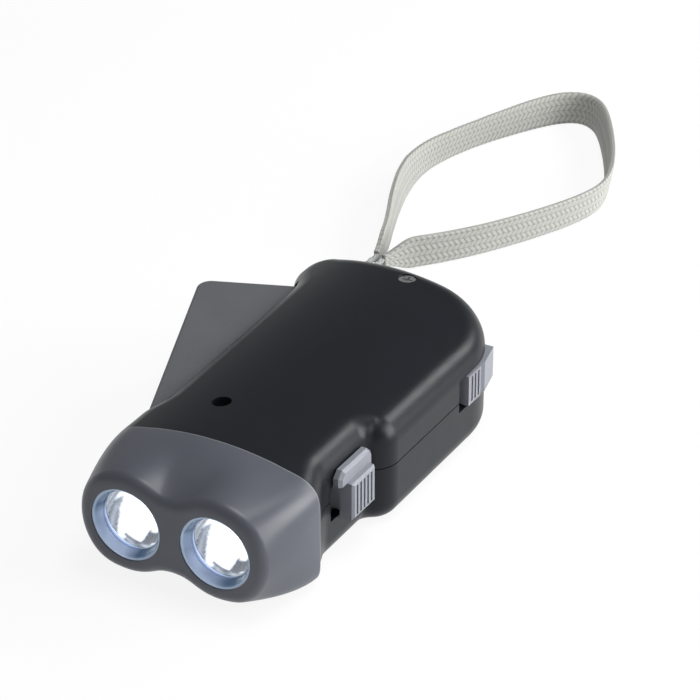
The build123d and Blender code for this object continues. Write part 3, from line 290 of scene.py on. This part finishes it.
def make_wrist_strap():
    route = [(x * MM, y * MM, STRAP_CENTRE) for x, y in STRAP_ROUTE]
    line = smooth_line("strap_line", route, STRAP_STEPS)
    run = distances(line)
    knots = np.linspace(0, run[-1], len(STRAP_LEAN))
    lean = np.interp(run, knots, np.array(STRAP_LEAN) * MM)
    near_end = np.minimum(run, run[-1] - run)
    share = np.clip(near_end / GATHER_LENGTH, 0, 1)
    fullness = GATHERED_SHARE + (1 - GATHERED_SHARE) * share * share * (3 - 2 * share)

    # across the outer face, over the upper edge, back down the inner face
    rows = np.linspace(0, 1, STRAP_AROUND // 2 - 1)
    outer, inner = rows, rows[::-1]
    across = np.concatenate([outer, [1.0], inner, [0.0]])
    face = np.concatenate([np.ones(len(outer)), [0], -np.ones(len(inner)), [0]])
    edge_distance = np.minimum(across, 1 - across) * STRAP_WIDTH
    rounding = np.sqrt(np.clip(edge_distance / (0.5 * STRAP_THICKNESS), 0, 1))
    half = 0.5 * STRAP_THICKNESS * (EDGE_SHARE + (1 - EDGE_SHARE) * rounding)
    ridge = np.abs(np.sin(pi * BRAID_COLUMNS * across)) ** COLUMN_ROUNDING
    relief = BRAID_RELIEF * braid_height(run[:, None], across[None, :])
    relief = relief + COLUMN_RELIEF * (ridge - 1)[None, :]
    thick = face[None, :] * (half[None, :] + relief - BRAID_RELIEF / 2)
    inward = np.where(across > 0.5, -EDGE_DRAWN_IN, EDGE_DRAWN_IN)
    height = (across - 0.5) * STRAP_WIDTH + np.where(face == 0, inward, 0)
    height = height[None, :] * fullness[:, None]
    sideways = thick + across[None, :] * lean[:, None]
    strap = swept("wrist_strap_braid", line, sideways, height, "casing")
    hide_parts("wrist_strap")
    return strap


FIBRES = 9                  # crossing fibres to each stitch
FIBRE_DEPTH = 0.03 * MM
FUZZ_SIZE = 0.4 * MM
FUZZ_DEPTH = 0.08 * MM


def braid_finish(name, colour, columns, stitch):
    """Polyester braid: painted shade in the hollows between the stitches of the mesh, crossing
    fibres and fuzz.
    """
    finish = Finish(name, colour, 0.82, Sheen_Weight=0.25, Sheen_Roughness=0.6)
    uv = finish.node("ShaderNodeSeparateXYZ", {0: finish.node("ShaderNodeUVMap").outputs[0]})
    run, turn = uv.outputs[0], uv.outputs[1]
    column = finish.math("MULTIPLY", turn, 2 * columns)
    zigzag = finish.math("PINGPONG", column, 1)
    slanted = finish.math(
        "ADD", finish.math("DIVIDE", run, stitch), finish.math("MULTIPLY", zigzag, STITCH_SLANT)
    )
    wave = finish.math("ABSOLUTE", finish.math("SINE", finish.math("MULTIPLY", slanted, pi)))
    ridge = finish.math("ABSOLUTE", finish.math("SINE", finish.math("MULTIPLY", column, pi)))
    body = finish.math(
        "MULTIPLY", finish.math("POWER", wave, 0.6), finish.math("POWER", ridge, 0.3)
    )
    fibre = finish.math("SINE", finish.math("MULTIPLY", slanted, pi * FIBRES))
    fuzz = finish.noise(FUZZ_SIZE, 4.0)
    patches = finish.noise(12 * MM, 2.0)
    light = finish.tint(patches, finish.shade(0.95), finish.shade(1.08))
    # painted shade: the braid is darker where its relief is low, between stitches and columns
    dark = finish.tint(fuzz, finish.shade(0.42), finish.shade(0.62))
    finish.to("Base Color", finish.tint(finish.remap(body, 0.1, 0.75, 0, 1), dark, light))
    under = finish.bump(fibre, FIBRE_DEPTH, 0.6)
    finish.bump(fuzz, FUZZ_DEPTH, 0.7, under)
    return finish


# ------------------------------------------------------------------ strap cord
CORD_RADIUS = 0.7 * MM
CORD_ROUTE = [
    (-32.2, 92.4, 4.6), (-32.0, 81.0, 5.6), (-25.6, 68.0, 9.8), (-19.35, 55.4, 13.4),
    (-19.35, 50.23, 13.4), (-18.27, 49.15, 13.4), (-16.73, 49.15, 13.4),
    (-15.65, 50.23, 13.4), (-15.65, 55.4, 13.4), (-22.4, 68.0, 9.8), (-29.7, 81.0, 5.6),
    (-30.0, 91.4, 4.6),
]
CORD_STRANDS = 3
CORD_LAY = 4.5 * MM         # length of one turn of a strand
CORD_STEPS = 60
CORD_AROUND = 24
STRAND_HOLLOW = 0.76        # radius between two strands, as a share of the cord's
STRAND_SWELL = 0.28


def make_strap_cord():
    route = [tuple(part * MM for part in point) for point in CORD_ROUTE]
    line = smooth_line("cord_line", route, CORD_STEPS)
    run = distances(line)
    turn = 2 * pi * np.arange(CORD_AROUND) / CORD_AROUND
    phase = turn[None, :] * CORD_STRANDS / 2 + pi * run[:, None] / CORD_LAY * CORD_STRANDS / 2
    radius = CORD_RADIUS * (STRAND_HOLLOW + STRAND_SWELL * np.abs(np.sin(phase)))
    piece = swept(
        "strap_cord_twist",
        line,
        radius * np.cos(turn)[None, :],
        radius * np.sin(turn)[None, :],
        "casing",
    )
    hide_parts("strap_cord")
    return piece


STRAP_COLOUR = (0.38, 0.385, 0.355)
CORD_COLOUR = (0.3, 0.31, 0.31)

wrist_strap = make_wrist_strap()
strap_cord = make_strap_cord()
strap_braid = braid_finish("strap_braid", STRAP_COLOUR, BRAID_COLUMNS, BRAID_STITCH)
wrist_strap.data.materials.append(strap_braid.material)
cord_twist = braid_finish("cord_twist", CORD_COLOUR, CORD_STRANDS, CORD_LAY / CORD_STRANDS)
strap_cord.data.materials.append(cord_twist.material)

# ------------------------------------------------------------------ casing, head, lever
PARTING_HEIGHT = 14 * MM
PARTING_HALF = 0.13 * MM
PARTING_DEPTH = 0.15 * MM
PARTING_COLOUR = (0.001, 0.001, 0.0012, 1)

casing_finish = moulded(
    "casing_plastic",
    colour=(0.0065, 0.0082, 0.0115),
    roughness=0.34,
    grain=0.35 * MM,
    grain_depth=0.006 * MM,
    Specular_IOR_Level=0.24,
)


def add_parting_line(finish):
    """The dark gap where the two casing halves meet."""
    height = finish.node("ShaderNodeSeparateXYZ", {0: finish.place}).outputs[2]
    off = finish.math("ABSOLUTE", finish.math("SUBTRACT", height, PARTING_HEIGHT))
    gap = finish.remap(off, PARTING_HALF * 0.6, PARTING_HALF * 1.4, 1, 0)
    skin = finish.shader.inputs["Base Color"].links[0].from_socket
    finish.to("Base Color", finish.tint(gap, skin, PARTING_COLOUR))
    grain = finish.shader.inputs["Normal"].links[0].from_socket
    finish.bump(finish.math("SUBTRACT", 1.0, gap), PARTING_DEPTH, 1.0, grain)


add_parting_line(casing_finish)
wear(casing_finish, "top_housing", "bottom_housing")

SEAM_Y = -34.5 * MM         # joint between the casing and the head
SEAM_EDGE = 0.3 * MM
# pale colour of the painted highlight along the head's rear edge
SEAM_HIGHLIGHT_COLOUR = (0.2, 0.205, 0.215, 1)

head_finish = moulded(
    "head_plastic",
    colour=(0.079, 0.086, 0.104),
    roughness=0.36,
    grain=0.3 * MM,
    grain_depth=0.008 * MM,
    Specular_IOR_Level=0.4,
)


def paint_seam_highlight(finish):
    """A painted highlight along the head's rear edge, where a chamfered edge would catch the
    light.
    """
    along = finish.node("ShaderNodeSeparateXYZ", {0: finish.place}).outputs[1]
    painted_edge_highlight = finish.remap(along, SEAM_Y - SEAM_EDGE, SEAM_Y - SEAM_EDGE / 3, 0, 1)
    skin = finish.shader.inputs["Base Color"].links[0].from_socket
    finish.to("Base Color", finish.tint(painted_edge_highlight, skin, SEAM_HIGHLIGHT_COLOUR))


paint_seam_highlight(head_finish)
wear(head_finish, "head_shell")

lever_finish = moulded(
    "lever_plastic",
    colour=(0.102, 0.106, 0.114),
    roughness=0.6,
    grain=0.45 * MM,
    grain_depth=0.05 * MM,
    Specular_IOR_Level=0.3,
)
wear(lever_finish, "squeeze_lever")

slider_finish = moulded(
    "slider_plastic",
    colour=(0.205, 0.215, 0.245),
    roughness=0.38,
    grain=0.4 * MM,
    grain_depth=0.02 * MM,
    Specular_IOR_Level=0.45,
)
wear(slider_finish, "switch_knob", "lock_slider")

# ------------------------------------------------------------------ lamps
LAMPS = ("left", "right")
RING_INSIDE = 6.95 * MM     # the rim shows outside this radius
RING_OUTSIDE = 7.7 * MM     # its pale outer edge starts here
# rim colours: a bluish tone, a painted reflection that is brightest towards the lower left, and
# a paler outer edge
RING_DARK = (0.085, 0.15, 0.25, 1)
RING_PAINTED_HIGHLIGHT = (0.56, 0.67, 0.92, 1)
RING_EDGE = (0.5, 0.6, 0.75, 1)
PAINTED_HIGHLIGHT_SIDE = (-0.69, -0.72)  # across and upward, towards the brightest part of the rim's painted reflection
CLOUD_SIZE = 5 * MM


def lamp_centre(side):
    """The middle of this side's reflector."""
    low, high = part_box(f"{side}_reflector")
    return (low + high) / 2


def lens_finish(side):
    """Clear disc with a bluish moulded rim, which carries a painted reflection brightest at its
    lower left and a faint painted glow.
    """
    finish = Finish(f"{side}_lens_clear", (0.97, 0.985, 1.0), 0.03, IOR=1.45)
    finish.shader.inputs["Transmission Weight"].default_value = 1.0
    centre = lamp_centre(side)
    place = finish.node("ShaderNodeSeparateXYZ", {0: finish.place})
    across = finish.math("SUBTRACT", place.outputs[0], centre.x)
    upward = finish.math("SUBTRACT", place.outputs[2], centre.z)
    squares = finish.math(
        "ADD", finish.math("MULTIPLY", across, across), finish.math("MULTIPLY", upward, upward)
    )
    radius = finish.math("SQRT", squares)
    on_rim = finish.remap(radius, RING_INSIDE, RING_INSIDE + 0.1 * MM, 0, 1)
    rim = finish.node("ShaderNodeBsdfPrincipled")
    # painted reflection on the rim: brightest towards the lower left, broken up by noise
    low_left = finish.math(
        "ADD",
        finish.math("MULTIPLY", across, PAINTED_HIGHLIGHT_SIDE[0]),
        finish.math("MULTIPLY", upward, PAINTED_HIGHLIGHT_SIDE[1]),
    )
    toward = finish.math("DIVIDE", low_left, radius)
    cloud = finish.math("MULTIPLY", finish.noise(CLOUD_SIZE, 1.0), 0.9)
    painted_rim_highlight = finish.remap(finish.math("ADD", toward, cloud), 0.8, 1.45, 0, 1)
    shade = finish.tint(painted_rim_highlight, RING_DARK, RING_PAINTED_HIGHLIGHT)
    outer = finish.remap(radius, RING_OUTSIDE, RING_OUTSIDE + 0.3 * MM, 0, 0.6)
    shade = finish.tint(outer, shade, RING_EDGE)
    finish.tree.links.new(shade, rim.inputs["Base Color"])
    rim.inputs["Roughness"].default_value = 0.22
    # painted glow: the rim gives off a little light in its own colours
    rim.inputs["Emission Strength"].default_value = 0.25
    finish.tree.links.new(shade, rim.inputs["Emission Color"])
    mix = finish.node("ShaderNodeMixShader", {0: on_rim})
    finish.tree.links.new(finish.shader.outputs[0], mix.inputs[1])
    finish.tree.links.new(rim.outputs[0], mix.inputs[2])
    output = finish.tree.nodes["Material Output"]
    finish.tree.links.new(mix.outputs[0], output.inputs["Surface"])
    return finish


# three points of the bowl's profile: radius and depth behind the mouth, in mm
MOUTH = (7.28, 0.15)
MIDDLE = (6.12, 4.9)
THROAT = (2.75, 8.45)
FACET_ROWS = 16
FACET_COLUMNS = 96
# painted reflection on the bowl, as the light of its parts; turns in degrees from +X towards +Z,
# depths as shares
CORE_LIGHT = 1.35
SHARD_TURNS = (142, 226)    # painted grey shards of reflection at the upper left
SHARD_DEPTHS = (0.34, 0.5)  # they fade out between these
SHARD_SLANT = 70            # degrees that they run round from mouth to throat
SHARD_DARK = 0.06
SHARD_LIGHT = 0.26
PATCH_TURNS = (272, 328)    # painted dark patch of reflection at the lower right
PATCH_DEPTHS = (0.13, 0.46)
PATCH_DARK = 0.03
PATCH_LIGHT = 0.05
SLIVER_TURNS = (246, 334)   # painted pale slivers between the patch and the mouth
SLIVER_DEPTHS = (0.1, 0.13)
SLIVER_LIGHT = 0.32
SLIVER_SWING = 0.2
DARK_LINE_TURNS = (240, 272)    # painted thin dark line that leads down from the patch
DARK_LINE_DEPTHS = (0.12, 0.15)
DARK_LINE_LIGHT = 0.08


def arc_through(start, middle, end, steps):
    """Points on the circle through three points, from start to end."""
    (ax, ay), (bx, by), (cx, cy) = start, middle, end
    spread = 2 * (ax * (by - cy) + bx * (cy - ay) + cx * (ay - by))
    a, b, c = ax * ax + ay * ay, bx * bx + by * by, cx * cx + cy * cy
    x = (a * (by - cy) + b * (cy - ay) + c * (ay - by)) / spread
    y = (a * (cx - bx) + b * (ax - cx) + c * (bx - ax)) / spread
    radius = hypot(ax - x, ay - y)
    first, last = atan2(ay - y, ax - x), atan2(cy - y, cx - x)
    angles = [first + (last - first) * step / steps for step in range(steps + 1)]
    return [(x + radius * cos(angle), y + radius * sin(angle)) for angle in angles]


def step_up(value, low, high):
    """0 below low, 1 above high and smooth between."""
    share = min(1.0, max(0.0, (value - low) / (high - low)))
    return share * share * (3 - 2 * share)


def between(value, low, high, soft):
    """1 from low to high, falling to 0 over soft on either side."""
    return step_up(value, low - soft, low) * (1 - step_up(value, high, high + soft))


def painted_bowl_light(turn, depth):
    """How bright the bowl's painted reflection glows at this turn in degrees and share of its
    depth.
    """
    light = CORE_LIGHT

    slant = turn + SHARD_SLANT * depth
    fade = step_up(depth + 0.1 * sin(slant / 5), *SHARD_DEPTHS)
    shards = between(slant, *SHARD_TURNS, 8) * (1 - fade)
    line = step_up(abs(sin(slant / 9)), 0.0, 0.3)
    light += shards * (SHARD_DARK + SHARD_LIGHT * line * (1 + 0.4 * sin(slant / 3)) - light)

    patch_depth = depth + 0.03 * sin(turn / 4)
    patch = between(turn, *PATCH_TURNS, 4) * between(patch_depth, *PATCH_DEPTHS, 0.05)
    light += patch * (PATCH_DARK + PATCH_LIGHT * sin(turn / 3) ** 2 - light)

    slivers = between(turn, *SLIVER_TURNS, 6) * (1 - step_up(depth, *SLIVER_DEPTHS))
    light += slivers * (SLIVER_LIGHT + SLIVER_SWING * sin(turn / 5 + 30 * depth) - light)

    dark_line = between(turn, *DARK_LINE_TURNS, 5) * between(depth, *DARK_LINE_DEPTHS, 0.025)
    light += dark_line * (DARK_LINE_LIGHT - light)
    return light


def make_glowing_facets(side):
    """A sheet of flat facets just inside the bowl that glows with a painted reflection in place
    of the reflector's mirror face.
    """
    centre = lamp_centre(side)
    mouth_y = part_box(f"{side}_reflector")[0].y
    profile = arc_through(MOUTH, MIDDLE, THROAT, FACET_ROWS)
    points, faces, light = [], [], []
    for row, (radius, depth) in enumerate(profile):
        for column in range(FACET_COLUMNS):
            angle = 2 * pi * (column + 0.5 * (row % 2)) / FACET_COLUMNS
            x = centre.x + radius * MM * cos(angle)
            z = centre.z + radius * MM * sin(angle)
            points.append((x, mouth_y + depth * MM, z))
            light.append(painted_bowl_light(degrees(angle) % 360, row / FACET_ROWS))
    for row in range(FACET_ROWS):
        for column in range(FACET_COLUMNS):
            here, after = column, (column + 1) % FACET_COLUMNS
            a, b = row * FACET_COLUMNS + here, row * FACET_COLUMNS + after
            c, d = a + FACET_COLUMNS, b + FACET_COLUMNS
            if row % 2:
                faces += [(a, b, d), (a, d, c)]
            else:
                faces += [(a, b, c), (b, d, c)]
    mesh = bpy.data.meshes.new(f"{side}_painted_reflection_facets")
    mesh.from_pydata(points, [], faces)
    layer = mesh.attributes.new("lit", "FLOAT", "POINT")
    layer.data.foreach_set("value", light)
    mesh.update()
    piece = bpy.data.objects.new(f"{side}_painted_reflection_facets", mesh)
    bpy.context.scene.collection.objects.link(piece)
    piece.data.materials.append(painted_reflection_finish.material)
    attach(piece, "casing")


# colours of the painted reflection's glow, from dim to full; FULL_LIGHT is also the LED's own
# light
DIM_LIGHT = (0.6, 0.74, 1, 1)
FULL_LIGHT = (0.95, 0.98, 1, 1)

# the facets are no lamp: their glow is a painted reflection
painted_reflection_finish = Finish("painted_reflection_glow", (0.04, 0.045, 0.06), 0.25)
lit = painted_reflection_finish.node("ShaderNodeAttribute", attribute_name="lit").outputs["Fac"]
cloud = painted_reflection_finish.remap(painted_reflection_finish.noise(1.6 * MM, 2.0), 0.3, 0.7, 0.75, 1.2)
painted_reflection_finish.to("Emission Strength", painted_reflection_finish.math("MULTIPLY", lit, cloud))
fullness = painted_reflection_finish.remap(lit, 0.1, 0.8, 0, 1)
painted_reflection_finish.to("Emission Color", painted_reflection_finish.tint(fullness, DIM_LIGHT, FULL_LIGHT))

chrome_finish = metal("reflector_metal", (0.8, 0.81, 0.84), 0.15, (1, 1, 1), 2 * MM)
led_finish = Finish("led_epoxy", (0.95, 0.98, 1.0), 0.15)
led_glow = led_finish.remap(led_finish.noise(2 * MM, 1.0), 0.3, 0.7, 1.6, 2.2)
led_finish.to("Emission Strength", led_glow)
led_finish.shader.inputs["Emission Color"].default_value = FULL_LIGHT

for side in LAMPS:
    wear(lens_finish(side), f"{side}_lens")
    wear(chrome_finish, f"{side}_reflector")
    wear(led_finish, f"{side}_led")
    make_glowing_facets(side)

# ------------------------------------------------------------------ inner works
board_finish = moulded("board_mask", (0.02, 0.11, 0.045), 0.35, 1.1 * MM, 0.02 * MM)
wear(board_finish, "lamp_board", "main_board")
gear_finish = moulded("gear_acetal", (0.74, 0.73, 0.68), 0.4, 0.5 * MM, 0.01 * MM)
wear(gear_finish, "first_gear", "second_gear", "rotor_hub", "coil_bobbin")
sleeve_finish = moulded("battery_sleeve", (0.05, 0.2, 0.07), 0.25, 2 * MM, 0.04 * MM)
wear(sleeve_finish, "battery_pack")
steel_finish = metal("bright_steel", (0.62, 0.62, 0.63), 0.28, (1, 1, 0.1))
wear(
    steel_finish,
    "battery_contacts", "lever_pivot_pin", "return_spring", "first_gear_axle",
    "second_gear_axle", "rotor_axle", "strap_pin", "slide_switch",
)
screw_finish = metal("zinc_screws", (0.5, 0.5, 0.51), 0.42, (1, 1, 1))
wear(screw_finish, "housing_screws")
core_finish = metal("core_laminations", (0.3, 0.3, 0.31), 0.45, (0.05, 0.05, 4))
wear(core_finish, "stator_core")
magnet_finish = moulded("sintered_magnet", (0.05, 0.05, 0.055), 0.55, 0.4 * MM, 0.04 * MM)
wear(magnet_finish, "ring_magnet")
copper_finish = metal("enamelled_copper", (0.62, 0.26, 0.1), 0.25, (0.1, 0.1, 1), 0.3 * MM)
wear(copper_finish, "coil_winding")

# ------------------------------------------------------------------ floor, world, lamps
FLOOR_SIZE = 6.0
PAPER_SHARE = 0.88          # of the floor's own white, near the torch
SHADOW_REACH = (0.25, 0.6)  # beyond it the floor is the backdrop alone
PAPER_FIBRE = 50 * MM
BACKDROP_TOP = 0.0          # sines of the rays' elevation: white up to here
CEILING_START = 0.14        # and dim from here on
CEILING_LEVEL = 0.22

floor_mesh = bpy.data.meshes.new("floor")
reach = FLOOR_SIZE / 2
floor_mesh.from_pydata(
    [(-reach, -reach, 0), (reach, -reach, 0), (reach, reach, 0), (-reach, reach, 0)],
    [],
    [(0, 1, 2, 3)],
)
floor = bpy.data.objects.new("floor", floor_mesh)
bpy.context.scene.collection.objects.link(floor)


def seen_rays(finish):
    """1 for rays from the camera, a mirror or glass, and 0 for the rest."""
    path = finish.node("ShaderNodeLightPath").outputs
    some = finish.math("MAXIMUM", path["Is Camera Ray"], path["Is Glossy Ray"])
    return finish.math("MAXIMUM", some, path["Is Transmission Ray"])


floor_finish = Finish("floor_paper", (0.9, 0.9, 0.9), 0.9, Specular_IOR_Level=0.1)
fibre = floor_finish.noise(PAPER_FIBRE, 2.0)
floor_finish.to(
    "Base Color", floor_finish.tint(fibre, (0.89, 0.89, 0.9, 1), (0.91, 0.91, 0.91, 1))
)
paper = floor_finish.node("ShaderNodeEmission", {"Color": (1, 1, 1, 1), "Strength": 1.0})
far_off = floor_finish.node("ShaderNodeVectorMath", {0: floor_finish.place}, operation="LENGTH")
share = floor_finish.remap(far_off.outputs["Value"], *SHADOW_REACH, PAPER_SHARE, 1)
paper_mix = floor_finish.node(
    "ShaderNodeMixShader", {0: floor_finish.math("MULTIPLY", seen_rays(floor_finish), share)}
)
floor_finish.tree.links.new(floor_finish.shader.outputs[0], paper_mix.inputs[1])
floor_finish.tree.links.new(paper.outputs[0], paper_mix.inputs[2])
floor_finish.tree.links.new(
    paper_mix.outputs[0], floor_finish.tree.nodes["Material Output"].inputs["Surface"]
)
floor.data.materials.append(floor_finish.material)

# white low down like the floor's far end, dimmer above
world = bpy.data.worlds.new("studio")
world.use_nodes = True
bpy.context.scene.world = world
world_nodes, world_links = world.node_tree.nodes, world.node_tree.links
background = world_nodes["Background"]
background.inputs["Color"].default_value = (1, 1, 1, 1)
ray_way = world_nodes.new("ShaderNodeTexCoord").outputs["Generated"]
ray_parts = world_nodes.new("ShaderNodeSeparateXYZ")
world_links.new(ray_way, ray_parts.inputs[0])
strength = world_nodes.new("ShaderNodeMapRange")
for socket, value in zip(range(1, 5), (BACKDROP_TOP, CEILING_START, 1.0, CEILING_LEVEL)):
    strength.inputs[socket].default_value = value
world_links.new(ray_parts.outputs[2], strength.inputs["Value"])
world_links.new(strength.outputs[0], background.inputs["Strength"])


def area_lamp(name, place, size, power):
    """A soft square lamp that points from place to the torch."""
    lamp = bpy.data.lights.new(name, "AREA")
    lamp.shape = "SQUARE"
    lamp.size, lamp.energy = size, power
    holder = bpy.data.objects.new(name, lamp)
    bpy.context.scene.collection.objects.link(holder)
    holder.location = place
    way = Vector(TORCH_MIDDLE) - Vector(place)
    holder.rotation_euler = way.to_track_quat("-Z", "Y").to_euler()


TORCH_MIDDLE = (0, 0.03, 0.01)
area_lamp("key_right", place=(0.56, 0.24, 0.22), size=0.42, power=4.6)
area_lamp("edge_strip", place=(0.3, 0.55, 0.38), size=0.22, power=1.5)
area_lamp("top_soft", place=(0.12, 0.06, 0.7), size=0.32, power=2.6)
